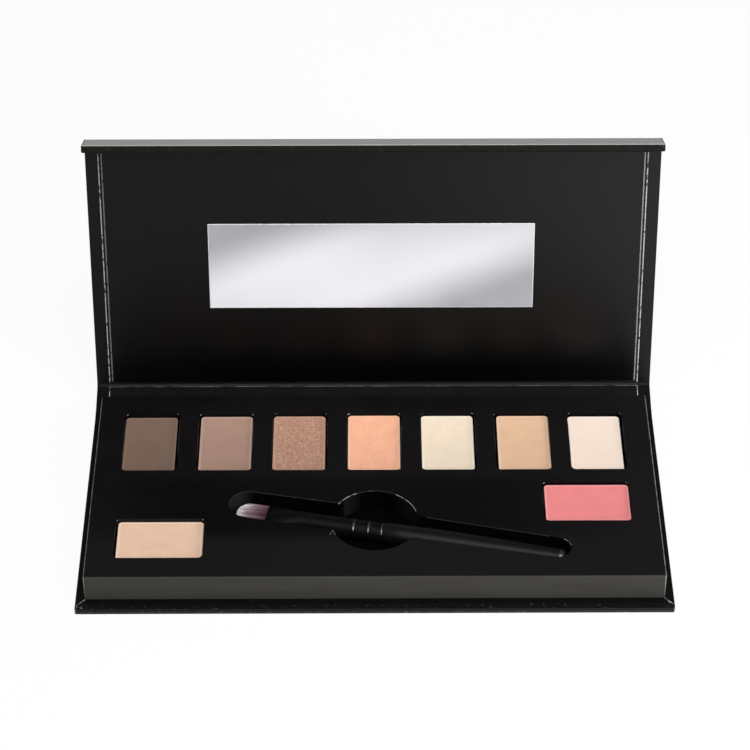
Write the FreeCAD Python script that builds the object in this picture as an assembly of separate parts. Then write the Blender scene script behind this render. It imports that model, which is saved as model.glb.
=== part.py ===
import FreeCAD
import Part
import math
import os

# Book-style eyeshadow palette: a paper-wrapped board case of base, spine, lid and
# closing flap, a block tray glued on the base, nine pressed powders in tin pans,
# a mirror in the lid and a small brush lying in its own slot.
# Millimetres. +X to the right, +Y away from the user, +Z up.
# The origin is the centre of the base's underside.

# Case boards
CASE_W = 190.0
BASE_D = 93.0
GREYBOARD_T = 1.6
FLAP_BOARD_T = 2.2
PAPER_T = 0.2
TURN_IN = 15.0
EDGE_BEVEL = 0.35
LINER_T = 0.2
LINER_INSET = 4.2
HINGE_CLEAR = 0.3
BOARD_T = GREYBOARD_T + 2 * PAPER_T
FLAP_T = FLAP_BOARD_T + 2 * PAPER_T

# Pose of the open case: lean of the spine and opening of the lid from closed,
# and how far the flap has sprung open from square to the lid
SPINE_LEAN = 75.0
LID_OPEN = 101.0
FLAP_SPRING = 13.4

# Tray block
SIDE_MARGIN = 2.9
FRONT_MARGIN = 4.9
TRAY_FLOOR_T = 1.7
TRAY_CORNER_R = 3 * PAPER_T
DECK_MARGIN = 9.3
ROW_REAR_MARGIN = 9.6
SPINE_CLEAR = 0.4

# Powder pans, all of one size
PAN_COUNT = 7
PAN_SHORT = 17.4
PAN_LONG = 27.6
PAN_H = 4.2
PAN_WALL = 0.3
PAN_CORNER_R = 1.3
PAN_DROP = 1.2
WELL_CLEAR = 0.45
POWDER_CLEAR = 0.03
POWDER_PROUD = 0.15

# Brush
HANDLE_LEN = 59.6
HANDLE_R = 3.6
HANDLE_NECK_R = 3.4
HANDLE_DOME = ((2.0, 2.9), (0.7, 2.3), (0.0, 1.1))
HANDLE_BELLY = 20.0
FERRULE_LEN = 38.6
FERRULE_R = 3.15
FERRULE_WALL = 0.35
FERRULE_ROUND_LEN = 27.6
FERRULE_MOUTH_HALF_W = 5.6
FERRULE_MOUTH_HALF_T = 1.7
CRIMP_BEAD_R = 0.35
CRIMP_FROM_HANDLE = (0.4, 5.5, 9.7)
TENON_LEN = 12.0
BRISTLE_LEN = 10.2
BRISTLE_SHOULDER = 4.2
BRISTLE_TIP_T = 0.4
BRISTLE_ROOT = 5.0
BRUSH_FIT = 0.05
BRUSH_DROP = 0.65

# Brush slot and finger recess
SLOT_ANGLE = 11.75
SLOT_LEFT_R = 6.1
SLOT_LEFT_ROOT_R = 6.6
SLOT_RIGHT_ROOT_R = 5.7
SLOT_RIGHT_R = 4.5
SLOT_END_CLEAR = 1.8
SLOT_MID_X = 7.85
SLOT_FROM_FRONT = 23.7
RECESS_R = 14.1
RECESS_X = 0.0
RECESS_FROM_FRONT = 26.0

# Lid panel and mirror
PANEL_T = 0.9
PANEL_INSET = 5.2
PANEL_SETBACK = 2.6
MIRROR_W = 109.2
MIRROR_D = 31.6
MIRROR_T = 0.7
MIRROR_X = -0.7
MIRROR_RISE = 0.9
TAPE_T = 0.15
TAPE_INSET = 2.0
MIRROR_CLEAR = 0.2
LID_CLEAR = 0.3

# Flap and closing magnets
FLAP_CLEAR = 0.4
MAGNET_W = 10.0
MAGNET_H = 4.0
FLAP_MAGNET_T = 1.5
TRAY_MAGNET_T = 2.0
MAGNET_X = 60.0
MAGNET_FIT = 0.05

# Heights worked out from the brush and the pans
BRUSH_LEN = HANDLE_LEN + FERRULE_LEN + BRISTLE_LEN
SLOT_DEPTH = 2 * HANDLE_R + BRUSH_FIT + BRUSH_DROP
UPPER_T = PAN_H + PAN_DROP - PAPER_T
LOWER_T = SLOT_DEPTH - PAN_H - PAN_DROP
FLOOR_Z = BOARD_T + TRAY_FLOOR_T
WELL_Z = FLOOR_Z + LOWER_T
LAYER_TOP_Z = WELL_Z + UPPER_T
DECK_Z = LAYER_TOP_Z + PAPER_T

# Hinge axes, in the blank laid flat with its outside down
MID_Z = BOARD_T / 2
GUTTER = BOARD_T / 2 + LINER_T + HINGE_CLEAR
BASE_FRONT = -BASE_D / 2
BASE_REAR = BASE_D / 2
SPINE_AXIS = BASE_REAR + GUTTER
TRAY_FRONT = BASE_FRONT + FRONT_MARGIN
TRAY_REAR = SPINE_AXIS - BOARD_T / 2 - LINER_T - SPINE_CLEAR
LID_STACK = LID_CLEAR + PANEL_T + LINER_T + BOARD_T / 2
LID_AXIS = SPINE_AXIS + DECK_Z + LID_STACK - MID_Z
FLAP_REACH = SPINE_AXIS - TRAY_FRONT + FLAP_CLEAR + LINER_T + FLAP_T - MID_Z
FLAP_AXIS = LID_AXIS + FLAP_REACH
FLAP_END = FLAP_AXIS + DECK_Z + LID_STACK - BOARD_T - FLAP_CLEAR

# Folds from the flat blank to the open pose
SPINE_FOLD = 90.0 - SPINE_LEAN
LID_FOLD = 180.0 - LID_OPEN - SPINE_FOLD
FLAP_FOLD = 90.0 - FLAP_SPRING
SPINE_TURNS = [(SPINE_AXIS, SPINE_FOLD)]
LID_TURNS = [(LID_AXIS, LID_FOLD)] + SPINE_TURNS
FLAP_TURNS = [(FLAP_AXIS, FLAP_FOLD)] + LID_TURNS

# Deck layout
TRAY_HALF_W = CASE_W / 2 - SIDE_MARGIN
PAN_PITCH = (2 * TRAY_HALF_W - 2 * DECK_MARGIN - PAN_SHORT) / (PAN_COUNT - 1)
PAN_GAP = PAN_PITCH - PAN_SHORT
ROW_Y = TRAY_REAR - ROW_REAR_MARGIN - PAN_LONG / 2
SIDE_PAN_X = TRAY_HALF_W - DECK_MARGIN - PAN_LONG / 2
BLUSH_Y = ROW_Y - PAN_LONG / 2 - PAN_GAP - PAN_SHORT / 2
CONCEALER_Y = TRAY_FRONT + DECK_MARGIN + PAN_SHORT / 2
SLOT_MID_Y = TRAY_FRONT + SLOT_FROM_FRONT
RECESS_Y = TRAY_FRONT + RECESS_FROM_FRONT
MAGNET_Z = (WELL_Z + LAYER_TOP_Z) / 2
BRUSH_Z = FLOOR_Z + HANDLE_R + BRUSH_FIT

X_AXIS = FreeCAD.Vector(1, 0, 0)
Z_AXIS = FreeCAD.Vector(0, 0, 1)


def point(x, y, z):
    return FreeCAD.Vector(x, y, z)


def block(x0, x1, y0, y1, z0, z1):
    """Box between two corners."""
    return Part.makeBox(x1 - x0, y1 - y0, z1 - z0, point(x0, y0, z0))


def upright_edges(shape):
    """Straight edges that run along Z."""
    found = []
    for edge in shape.Edges:
        run = edge.Vertexes[-1].Point - edge.Vertexes[0].Point
        if abs(run.x) + abs(run.y) < 1e-6 and abs(run.z) > 1e-6:
            found.append(edge)
    return found


def top_edges(shape):
    """Edges that lie in the shape's top face."""
    top = shape.BoundBox.ZMax
    return [edge for edge in shape.Edges if edge.BoundBox.ZMin > top - 1e-6]


def rounded_plate(x, y, width, depth, radius, z0, z1):
    """Upright rectangular block with rounded corners, centred on x and y."""
    plain = block(x - width / 2, x + width / 2, y - depth / 2, y + depth / 2, z0, z1)
    return plain.makeFillet(radius, upright_edges(plain))


def folded(shape, turns):
    """Fold a piece of the flat blank, outermost crease first."""
    for axis_y, angle in turns:
        shape.rotate(point(0, axis_y, MID_Z), X_AXIS, angle)
    return shape


# Case


def board_core(y0, y1, wraps_front, wraps_end, thick=BOARD_T):
    """Greyboard inside its paper: set back where the paper goes round an end."""
    front = y0 + PAPER_T * wraps_front
    end = y1 - PAPER_T * wraps_end
    half = CASE_W / 2 - PAPER_T
    return block(-half, half, front, end, PAPER_T, thick - PAPER_T)


def board_cover(y0, y1, wraps_front, wraps_end, thick=BOARD_T):
    """Paper round the outside, over the edges and turned in on the inside."""
    half = CASE_W / 2
    whole = block(-half, half, y0, y1, 0, thick)
    open_ends = []
    if not wraps_front:
        open_ends.append(y0)
    if not wraps_end:
        open_ends.append(y1)
    soft = []
    for edge in whole.Edges:
        box = edge.BoundBox
        if not any(abs(box.YMin - y) + abs(box.YMax - y) < 1e-6 for y in open_ends):
            soft.append(edge)
    wrapped = whole.makeChamfer(EDGE_BEVEL, soft)
    turn_in = min(TURN_IN, (y1 - y0) / 3)
    front = y0 + turn_in if wraps_front else y0 - PAPER_T
    end = y1 - turn_in if wraps_end else y1 + PAPER_T
    window = block(TURN_IN - half, half - TURN_IN, front, end, thick - PAPER_T, thick + PAPER_T)
    return wrapped.cut(board_core(y0, y1, wraps_front, wraps_end, thick)).cut(window)


def liner(y0, y1, thick=BOARD_T):
    """Lining sheet on the inside of a board."""
    half = CASE_W / 2 - LINER_INSET
    return block(-half, half, y0, y1, thick, thick + LINER_T)


def crease_paper(axis_y, fold):
    """Cover paper and lining bent round a gutter between two boards."""
    board_end = axis_y - GUTTER
    bend_r = MID_Z + GUTTER / math.tan(math.radians(fold) / 2)
    centre = point(0, board_end, bend_r)
    strips = []
    for half, z0, z1 in (
        (CASE_W / 2 - EDGE_BEVEL, 0, PAPER_T),
        (CASE_W / 2 - LINER_INSET, BOARD_T, BOARD_T + LINER_T),
    ):
        corners = [
            point(-half, board_end, z0),
            point(half, board_end, z0),
            point(half, board_end, z1),
            point(-half, board_end, z1),
            point(-half, board_end, z0),
        ]
        section = Part.Face(Part.makePolygon(corners))
        strips.append(section.revolve(centre, X_AXIS, fold))
    return Part.makeCompound(strips)


def magnet_bars(y, z, thick_y, thick_z, fit=0.0):
    """A pair of bar magnets, or their pockets when given a fit."""
    bars = []
    for x in (-MAGNET_X, MAGNET_X):
        bars.append(
            block(
                x - MAGNET_W / 2 - fit,
                x + MAGNET_W / 2 + fit,
                y - thick_y / 2 - fit,
                y + thick_y / 2 + fit,
                z - thick_z / 2 - fit,
                z + thick_z / 2 + fit,
            )
        )
    return Part.makeCompound(bars)


def case_nodes():
    """Base, spine, lid and flap boards with their papers, and the folds between."""
    spine = (SPINE_AXIS + GUTTER, LID_AXIS - GUTTER)
    lid = (LID_AXIS + GUTTER, FLAP_AXIS - GUTTER)
    flap = (FLAP_AXIS + GUTTER, FLAP_END)
    flap_magnet_y = FLAP_AXIS + DECK_Z + LID_STACK - MAGNET_Z
    flap_magnet_z = FLAP_T - PAPER_T - FLAP_MAGNET_T / 2
    flap_pockets = magnet_bars(flap_magnet_y, flap_magnet_z, MAGNET_H, FLAP_MAGNET_T, MAGNET_FIT)
    flap_magnets = magnet_bars(flap_magnet_y, flap_magnet_z, MAGNET_H, FLAP_MAGNET_T)
    flap_core = board_core(*flap, True, True, FLAP_T).cut(flap_pockets)
    return {
        "base_board": board_core(BASE_FRONT, BASE_REAR, True, False),
        "base_cover": board_cover(BASE_FRONT, BASE_REAR, True, False),
        "rear_crease_paper": crease_paper(SPINE_AXIS, SPINE_FOLD),
        "spine_board": folded(board_core(*spine, False, False), SPINE_TURNS),
        "spine_cover": folded(board_cover(*spine, False, False), SPINE_TURNS),
        "spine_liner": folded(liner(*spine), SPINE_TURNS),
        "lid_crease_paper": folded(crease_paper(LID_AXIS, LID_FOLD), SPINE_TURNS),
        "lid_board": folded(board_core(*lid, False, False), LID_TURNS),
        "lid_cover": folded(board_cover(*lid, False, False), LID_TURNS),
        "lid_liner": folded(liner(*lid), LID_TURNS),
        "flap_crease_paper": folded(crease_paper(FLAP_AXIS, FLAP_FOLD), LID_TURNS),
        "flap_board": folded(flap_core, FLAP_TURNS),
        "flap_cover": folded(board_cover(*flap, True, True, FLAP_T), FLAP_TURNS),
        "flap_liner": folded(
            liner(flap[0] + EDGE_BEVEL, FLAP_END - EDGE_BEVEL, FLAP_T), FLAP_TURNS
        ),
        "flap_magnets": folded(flap_magnets, FLAP_TURNS),
    }


def mirror_block(margin, z0, z1):
    """Block in the mirror's place on the lid, larger all round by a margin."""
    mid_y = (LID_AXIS + FLAP_AXIS) / 2 + MIRROR_RISE
    half_w = MIRROR_W / 2 + margin
    half_d = MIRROR_D / 2 + margin
    return block(MIRROR_X - half_w, MIRROR_X + half_w, mid_y - half_d, mid_y + half_d, z0, z1)


def lid_nodes():
    """Inner card panel of the lid, with the mirror taped into its window."""
    panel_z = BOARD_T + LINER_T
    half = CASE_W / 2 - PANEL_INSET
    y0 = LID_AXIS + PANEL_SETBACK
    y1 = FLAP_AXIS - PANEL_SETBACK
    tape_z = panel_z + TAPE_T
    panel = block(-half, half, y0, y1, panel_z, panel_z + PANEL_T)
    window = mirror_block(MIRROR_CLEAR, panel_z, panel_z + PANEL_T)
    tape = mirror_block(-TAPE_INSET, panel_z, tape_z)
    mirror = mirror_block(0, tape_z, tape_z + MIRROR_T)
    return {
        "lid_panel": folded(panel.cut(window), LID_TURNS),
        "mirror_tape": folded(tape, LID_TURNS),
        "mirror": folded(mirror, LID_TURNS),
    }


# Tray


def pan_places():
    """Name, centre and outside size of each pan on the deck."""
    places = []
    for index in range(PAN_COUNT):
        x = (index - (PAN_COUNT - 1) / 2) * PAN_PITCH
        places.append(("eyeshadow_%d" % (index + 1), x, ROW_Y, PAN_SHORT, PAN_LONG))
    places.append(("blush", SIDE_PAN_X, BLUSH_Y, PAN_LONG, PAN_SHORT))
    places.append(("concealer", -SIDE_PAN_X, CONCEALER_Y, PAN_LONG, PAN_SHORT))
    return places


def slot_arm(left_x, left_r, right_x, right_r, z0, z1):
    """Tapering arm of the slot: two round ends and the lines that touch both."""
    slope = math.asin((left_r - right_r) / (right_x - left_x))
    along = math.sin(slope)
    across = math.cos(slope)
    left_far = point(left_x + left_r * along, left_r * across, z0)
    left_near = point(left_x + left_r * along, -left_r * across, z0)
    right_far = point(right_x + right_r * along, right_r * across, z0)
    right_near = point(right_x + right_r * along, -right_r * across, z0)
    outline = Part.Wire(
        [
            Part.Arc(left_near, point(left_x - left_r, 0, z0), left_far).toShape(),
            Part.LineSegment(left_far, right_far).toShape(),
            Part.Arc(right_far, point(right_x + right_r, 0, z0), right_near).toShape(),
            Part.LineSegment(right_near, left_near).toShape(),
        ]
    )
    return along_slot(Part.Face(outline).extrude(point(0, 0, z1 - z0)))


def slot_cutter(z0, z1):
    """Brush slot, wider for the bristles than for the handle, and the round finger recess."""
    reach = BRUSH_LEN / 2 + SLOT_END_CLEAR
    root_x = (RECESS_X - SLOT_MID_X) / math.cos(math.radians(SLOT_ANGLE))
    left = slot_arm(SLOT_LEFT_R - reach, SLOT_LEFT_R, root_x, SLOT_LEFT_ROOT_R, z0, z1)
    right = slot_arm(root_x, SLOT_RIGHT_ROOT_R, reach - SLOT_RIGHT_R, SLOT_RIGHT_R, z0, z1)
    recess = Part.makeCylinder(RECESS_R, z1 - z0, point(RECESS_X, RECESS_Y, z0))
    return recess.fuse([left, right]).removeSplitter()


def along_slot(shape):
    """Turn a piece drawn about the brush's middle into the slot's place."""
    shape.rotate(point(0, 0, 0), Z_AXIS, -SLOT_ANGLE)
    shape.translate(point(SLOT_MID_X, SLOT_MID_Y, 0))
    return shape


def well_cutters(z0, z1):
    """Wells for the pans."""
    wells = []
    for _, x, y, width, depth in pan_places():
        wells.append(
            rounded_plate(
                x,
                y,
                width + 2 * WELL_CLEAR,
                depth + 2 * WELL_CLEAR,
                PAN_CORNER_R + WELL_CLEAR,
                z0,
                z1,
            )
        )
    return wells


def tray_layer(z0, z1):
    """Plain layer of the tray block, inside its paper."""
    half = TRAY_HALF_W - PAPER_T
    return block(-half, half, TRAY_FRONT + PAPER_T, TRAY_REAR - PAPER_T, z0, z1)


def tray_paper():
    """Paper over the tray's deck and down its four sides."""
    mid_y = (TRAY_FRONT + TRAY_REAR) / 2
    whole = rounded_plate(
        0,
        mid_y,
        2 * TRAY_HALF_W,
        TRAY_REAR - TRAY_FRONT,
        TRAY_CORNER_R,
        BOARD_T,
        DECK_Z,
    )
    soft = whole.makeChamfer(EDGE_BEVEL, top_edges(whole))
    return soft.cut(tray_layer(BOARD_T, LAYER_TOP_Z))


def tray_nodes():
    """Floor card, two die-cut layers, the paper over them and the closing magnets."""
    slot = slot_cutter(FLOOR_Z, DECK_Z + PAPER_T)
    wells = well_cutters(WELL_Z, DECK_Z + PAPER_T)
    magnet_y = TRAY_FRONT + PAPER_T + TRAY_MAGNET_T / 2 + MAGNET_FIT
    pockets = magnet_bars(magnet_y, MAGNET_Z, TRAY_MAGNET_T, MAGNET_H, MAGNET_FIT)
    upper = tray_layer(WELL_Z, LAYER_TOP_Z).cut(slot).cut(wells).cut(pockets)
    return {
        "tray_floor_card": tray_layer(BOARD_T, FLOOR_Z),
        "tray_lower_layer": tray_layer(FLOOR_Z, WELL_Z).cut(slot),
        "tray_upper_layer": upper,
        "tray_cover": tray_paper().cut(slot).cut(wells),
        "tray_magnets": magnet_bars(magnet_y, MAGNET_Z, TRAY_MAGNET_T, MAGNET_H),
    }


def pan_nodes():
    """Tin pans and the powder pressed into each of them."""
    nodes = {}
    for name, x, y, width, depth in pan_places():
        rim_z = WELL_Z + PAN_H
        inside = 2 * PAN_WALL
        tin = rounded_plate(x, y, width, depth, PAN_CORNER_R, WELL_Z, rim_z)
        hollow = rounded_plate(
            x, y, width - inside, depth - inside, PAN_CORNER_R - PAN_WALL, WELL_Z + PAN_WALL, rim_z
        )
        room = inside + 2 * POWDER_CLEAR
        nodes[name + "_pan"] = tin.cut(hollow)
        nodes[name + "_powder"] = rounded_plate(
            x,
            y,
            width - room,
            depth - room,
            PAN_CORNER_R - PAN_WALL - POWDER_CLEAR,
            WELL_Z + PAN_WALL,
            rim_z + POWDER_PROUD,
        )
    return nodes


# Brush, drawn along X with its middle at the origin, bristles to the left


def turned(corners):
    """Solid turned about the X axis from a closed outline in the XY plane."""
    return Part.Face(Part.makePolygon(corners)).revolve(point(0, 0, 0), X_AXIS, 360)


def pressed_cone(x0, x1, r0, r1, half_t0, half_t1):
    """Cone along X from x0 to x1, pressed flat between two sloping planes."""
    cone = Part.makeCone(r0, r1, x1 - x0, point(x0, 0, 0), X_AXIS)
    half = max(r0, r1)
    corners = [
        point(x0, -half, -half_t0),
        point(x1, -half, -half_t1),
        point(x1, -half, half_t1),
        point(x0, -half, half_t0),
        point(x0, -half, -half_t0),
    ]
    wedge = Part.Face(Part.makePolygon(corners)).extrude(point(0, 2 * half, 0))
    return cone.common(wedge)


def handle_shape(start):
    """Swelling handle with a domed end, and the tenon that goes into the ferrule."""
    tenon_r = FERRULE_R - FERRULE_WALL - BRUSH_FIT
    end = start + HANDLE_LEN
    outline = [
        point(start - TENON_LEN, 0, 0),
        point(start - TENON_LEN, tenon_r, 0),
        point(start, tenon_r, 0),
        point(start, HANDLE_NECK_R, 0),
        point(start + HANDLE_BELLY, HANDLE_R, 0),
    ]
    for from_end, radius in HANDLE_DOME:
        outline.append(point(end - from_end, radius, 0))
    outline += [point(end, 0, 0), point(start - TENON_LEN, 0, 0)]
    return turned(outline)


def ferrule_skin(mouth, end, inset):
    """Tube that is round at the handle, then flared and pressed flat, made smaller by inset."""
    round_start = end - FERRULE_ROUND_LEN
    radius = FERRULE_R - inset
    flare = pressed_cone(
        mouth,
        round_start,
        FERRULE_MOUTH_HALF_W - inset,
        radius,
        FERRULE_MOUTH_HALF_T - inset,
        radius,
    )
    tube = Part.makeCylinder(radius, FERRULE_ROUND_LEN, point(round_start, 0, 0), X_AXIS)
    return flare.fuse(tube)


def bead(x):
    """Crimped bead round the ferrule, with sloping sides."""
    seat_r = FERRULE_R - FERRULE_WALL / 2
    crown_r = FERRULE_R + CRIMP_BEAD_R
    corners = [
        point(x - CRIMP_BEAD_R, seat_r, 0),
        point(x + CRIMP_BEAD_R, seat_r, 0),
        point(x, crown_r, 0),
        point(x - CRIMP_BEAD_R, seat_r, 0),
    ]
    return turned(corners)


def ferrule_shape(mouth, end):
    """Metal ferrule with its crimped beads."""
    shell = ferrule_skin(mouth, end, 0).cut(ferrule_skin(mouth, end, FERRULE_WALL))
    beads = [bead(end - from_handle) for from_handle in CRIMP_FROM_HANDLE]
    return shell.fuse(beads).removeSplitter()


def bristle_shape(mouth):
    """Flat bundle of bristles with a rounded tip, its root held in the ferrule's mouth."""
    half_w = FERRULE_MOUTH_HALF_W - FERRULE_WALL - BRUSH_FIT
    half_t = FERRULE_MOUTH_HALF_T - FERRULE_WALL - BRUSH_FIT
    flare = (FERRULE_MOUTH_HALF_W - FERRULE_R) / (FERRULE_LEN - FERRULE_ROUND_LEN)
    root_w = half_w - flare * BRISTLE_ROOT
    tip = mouth - BRISTLE_LEN
    shoulder = mouth - BRISTLE_SHOULDER
    outline = Part.Wire(
        [
            Part.LineSegment(point(mouth, -half_w, -half_t), point(mouth, half_w, -half_t)).toShape(),
            Part.LineSegment(
                point(mouth, half_w, -half_t), point(shoulder, half_w, -half_t)
            ).toShape(),
            Part.Arc(
                point(shoulder, half_w, -half_t),
                point(tip, 0, -half_t),
                point(shoulder, -half_w, -half_t),
            ).toShape(),
            Part.LineSegment(
                point(shoulder, -half_w, -half_t), point(mouth, -half_w, -half_t)
            ).toShape(),
        ]
    )
    paddle = Part.Face(outline).extrude(point(0, 0, 2 * half_t))
    bundle = pressed_cone(tip, mouth, half_w, half_w + BRUSH_FIT / 2, BRISTLE_TIP_T, half_t)
    root = pressed_cone(mouth, mouth + BRISTLE_ROOT, half_w, root_w, half_t, half_t)
    return bundle.common(paddle).fuse(root).removeSplitter()


def brush_nodes():
    """Brush lying in its slot, on the floor card."""
    mouth = BRISTLE_LEN - BRUSH_LEN / 2
    handle_start = mouth + FERRULE_LEN
    pieces = {
        "brush_bristles": bristle_shape(mouth),
        "brush_ferrule": ferrule_shape(mouth, handle_start),
        "brush_handle": handle_shape(handle_start),
    }
    for shape in pieces.values():
        shape.translate(point(0, 0, BRUSH_Z))
        along_slot(shape)
    return pieces


def main():
    os.makedirs("parts", exist_ok=True)
    nodes = {}
    nodes.update(case_nodes())
    nodes.update(lid_nodes())
    nodes.update(tray_nodes())
    nodes.update(pan_nodes())
    nodes.update(brush_nodes())
    for name, shape in nodes.items():
        shape.exportStep("parts/%s.step" % name)
        state = "valid" if shape.isValid() else "NOT VALID"
        print("%-24s %2d solids %10.1f mm3 %s" % (name, len(shape.Solids), shape.Volume, state))
    for name, axis_y, turns in (
        ("spine", SPINE_AXIS, []),
        ("lid", LID_AXIS, SPINE_TURNS),
        ("flap", FLAP_AXIS, LID_TURNS),
    ):
        axis = folded(Part.Vertex(0, axis_y, MID_Z), turns).Point
        print("%s hinge axis at y %.3f z %.3f" % (name, axis.y, axis.z))
    print("deck at z %.3f, %d nodes" % (DECK_Z, len(nodes)))


main()
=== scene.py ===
# %% [markdown]
# # An eyeshadow palette, dressed for its picture
#
# The engineering model already stands in its frame: four stiff boards that fold about three paper
# creases, a tray, nine powders and a brush. This notebook gives it the looks of the real thing.
# Pieces that need a soft edge or a finer shape are made again here as meshes, and every other piece
# keeps its engineering shape and only gets a material.

# %% Load the frame
import math
import random

import bmesh
import bpy
from mathutils import Matrix, Vector


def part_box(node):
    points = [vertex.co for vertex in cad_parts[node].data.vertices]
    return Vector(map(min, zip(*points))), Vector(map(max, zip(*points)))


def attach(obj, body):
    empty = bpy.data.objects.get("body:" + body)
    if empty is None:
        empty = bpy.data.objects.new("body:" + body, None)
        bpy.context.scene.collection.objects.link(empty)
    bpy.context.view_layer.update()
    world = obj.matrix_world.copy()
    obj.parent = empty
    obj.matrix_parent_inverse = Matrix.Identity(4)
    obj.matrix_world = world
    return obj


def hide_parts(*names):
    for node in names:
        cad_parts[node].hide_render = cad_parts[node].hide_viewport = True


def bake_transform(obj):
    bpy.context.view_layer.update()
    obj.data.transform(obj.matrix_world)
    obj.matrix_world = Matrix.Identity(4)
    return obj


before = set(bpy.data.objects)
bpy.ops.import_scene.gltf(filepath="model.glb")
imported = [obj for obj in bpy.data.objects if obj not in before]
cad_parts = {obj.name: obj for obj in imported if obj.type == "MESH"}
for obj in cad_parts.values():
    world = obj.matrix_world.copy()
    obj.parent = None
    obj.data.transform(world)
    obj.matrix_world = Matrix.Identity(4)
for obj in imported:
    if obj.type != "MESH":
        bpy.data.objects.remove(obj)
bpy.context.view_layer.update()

MM = 0.001
random.seed(7)
print("nodes in the frame:", len(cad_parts))

# %% [markdown]
# ## Where the boards are
#
# The case is one strip of board and paper, folded three times. Each fold has an axis that runs
# across the case, so a board's place is that axis and the angle it has turned to. In a board's own
# frame, y runs along the board from its axis and z points to the inside of the case, so every
# piece glued to a board can be drawn flat and then folded into place with one matrix.

# %% Board frames
# The axis each board turns about, as its y and z, and how far the board has turned in degrees.
BENDS = {
    "base": (0.0, 1.0, 0.0),
    "spine": (48.0, 1.0, 15.0),
    "lid": (60.557, 4.365, 79.0),
    "flap": (78.073, 94.478, 155.6),
}
# Where each board begins and ends along its own y, and how high its two faces lie.
REACH = {"base": (-46.5, 46.5), "spine": (1.5, 11.5), "lid": (1.5, 90.3), "flap": (1.5, 11.6)}
INNER_Z = {"base": 1.0, "spine": 1.0, "lid": 1.0, "flap": 1.6}
OUTER_Z = -1.0


def board_frame(body):
    """Matrix from a board's own flat frame, in millimetres, to the shared frame in metres."""
    y, z, turn = BENDS[body]
    fold = Matrix.Rotation(math.radians(turn), 4, "X")
    return Matrix.Scale(MM, 4) @ Matrix.Translation((0, y, z)) @ fold


print("boards:", ", ".join(BENDS))

# %% [markdown]
# ## Three small helpers
#
# Colours are written as the hex values a painter would note down, and one function turns them into
# the linear values that light is computed with. One helper adds a shader node with its settings and
# its links. One helper turns a finished mesh into an object that rides on its board.

# %% Helpers
def linear(code, gain=1.0):
    """Linear colour of a hex code such as #c08070, made lighter or darker by a gain."""
    parts = [int(code[i : i + 2], 16) / 255 for i in (1, 3, 5)]
    light = [c / 12.92 if c <= 0.04045 else ((c + 0.055) / 1.055) ** 2.4 for c in parts]
    return [min(c * gain, 1.0) for c in light] + [1.0]


def add(tree, kind, inputs=None, output=0, **settings):
    """Add a shader node and return one of its outputs; inputs are values or other outputs."""
    made = tree.nodes.new("ShaderNode" + kind)
    for name, value in settings.items():
        setattr(made, name, value)
    for socket, value in (inputs or {}).items():
        if isinstance(value, bpy.types.NodeSocket):
            tree.links.new(value, made.inputs[socket])
        else:
            made.inputs[socket].default_value = value
    return made.outputs[output]


def make_piece(name, bm, materials, body=None, replaces=(), sharp=35):
    """Turn a finished mesh into an object; edges that turn more than sharp degrees stay crisp."""
    bmesh.ops.recalc_face_normals(bm, faces=bm.faces[:])
    for face in bm.faces:
        face.smooth = True
    mesh = bpy.data.meshes.new(name)
    bm.to_mesh(mesh)
    bm.free()
    mesh.set_sharp_from_angle(angle=math.radians(sharp))
    for item in materials:
        mesh.materials.append(item)
    piece = bpy.data.objects.new(name, mesh)
    bpy.context.scene.collection.objects.link(piece)
    if body:
        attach(piece, body)
    if replaces:
        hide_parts(*replaces)
    print(name, len(mesh.polygons), "faces")
    return piece


print("a middle grey, #808080, is", round(linear("#808080")[0], 3), "in linear light")

# %% [markdown]
# ## How the materials are layered
#
# Real surfaces are never one flat colour. A painter lays thin colours over each other, each only in
# some places, and the materials here work the same way: a base colour, and then layers. A layer
# shows where all its places hold. A place is a pattern or a position together with the two values
# between which it goes from none to full, and a plain number between 0 and 1 makes a layer thinner.
# Two patterns cover most needs: soft clouds, which make paper and powder a little uneven, and
# scattered spots, which are dust. Both take their size in millimetres, so they stay true to scale.
# A painted picture could do the same, but a pattern needs no file and stays sharp up close.

# %% Layers and patterns
def layer(tree, base, colour, *places):
    """Lay a colour over the base, where every place (value, start, end) holds."""
    share = 1.0
    for value, start, end in places:
        here = add(tree, "MapRange", {0: value, 1: start, 2: end})
        share = add(tree, "Math", {0: share, 1: here}, operation="MULTIPLY")
    over = linear(colour) if isinstance(colour, str) else colour
    return add(tree, "Mix", {0: share, 6: base, 7: over}, 2, data_type="RGBA")


def cloud(tree, size, stretch=(1, 1, 1), detail=2.0):
    """Soft pattern of about 0.3 to 0.7, with patches of the given size in millimetres."""
    place = add(tree, "TexCoord", output="Object")
    place = add(tree, "Mapping", {"Vector": place, "Scale": stretch})
    return add(tree, "TexNoise", {"Vector": place, "Scale": 1 / (size * MM), "Detail": detail})


def spots(tree, spacing):
    """Distance to the nearest scattered point; 1 is about the spacing given in millimetres."""
    place = add(tree, "TexCoord", output="Object")
    return add(tree, "TexVoronoi", {"Vector": place, "Scale": 1 / (spacing * MM)}, "Distance")


def positions(tree):
    """The object's own x, y and z, in metres."""
    place = add(tree, "TexCoord", output="Object")
    return [add(tree, "SeparateXYZ", {0: place}, axis) for axis in "XYZ"]


print("clouds of 6 mm have a noise scale of", round(1 / (6 * MM)), "to the metre")

# %% [markdown]
# Every material starts from Blender's all-round shader with the values that are the same all over
# the surface. Its colour is layered next, and a fine relief of grain finishes it.

# %% Start and finish of a material
def start_material(name, roughness, **values):
    """A material with its shader, ready for colour and detail."""
    made = bpy.data.materials.new(name)
    made.use_nodes = True
    shader = made.node_tree.nodes["Principled BSDF"]
    shader.inputs["Roughness"].default_value = roughness
    for socket, value in values.items():
        shader.inputs[socket.replace("_", " ")].default_value = value
    return made, made.node_tree, shader


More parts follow.
